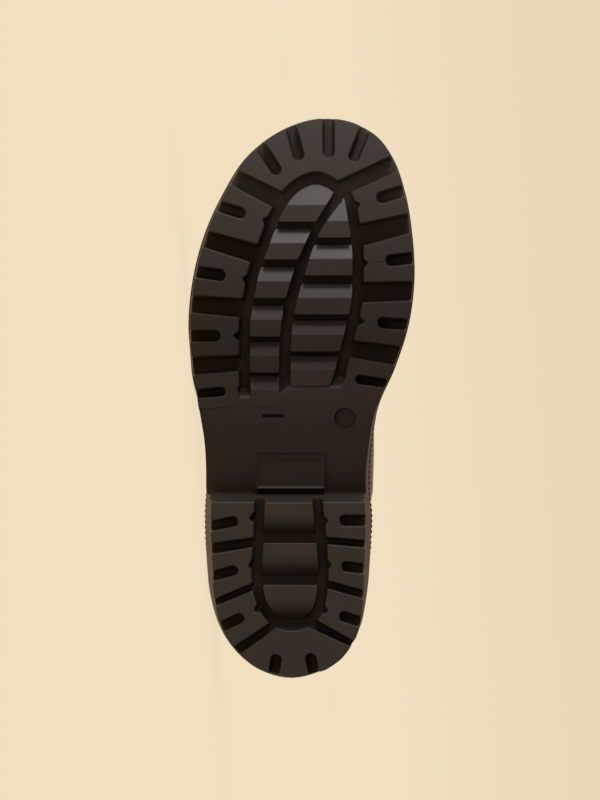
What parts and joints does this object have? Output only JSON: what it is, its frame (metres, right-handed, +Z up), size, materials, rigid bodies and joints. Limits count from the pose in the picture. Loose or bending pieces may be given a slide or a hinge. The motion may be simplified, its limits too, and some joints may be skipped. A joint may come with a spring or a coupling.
{
  "type": "rain boot",
  "caption": "Short rubber rain boot lying on its side: hollow moulded upper with a collar band, ribbed welt, insole, and a lugged sole with arch, heel and toe spring.",
  "frame": {"origin": "middle of the boot's bounding box, on the floor that it lies on", "axes": "+X from the toe to the heel, +Y from the tread to the collar, +Z up from the lateral side to the medial side"},
  "size_m": [0.2814, 0.1726, 0.1158],
  "materials": {
    "tread_rubber": "satin dark brown moulded rubber",
    "welt_rubber": "satin brown moulded rubber, ribbed",
    "upper_rubber": "glossy brown moulded rubber",
    "footbed_cloth": "matt woven cover on foam"
  },
  "bodies": {
    "root": {"outsole": "tread_rubber", "welt": "welt_rubber", "upper": "upper_rubber", "insole": "footbed_cloth"}
  },
  "joints": []
}
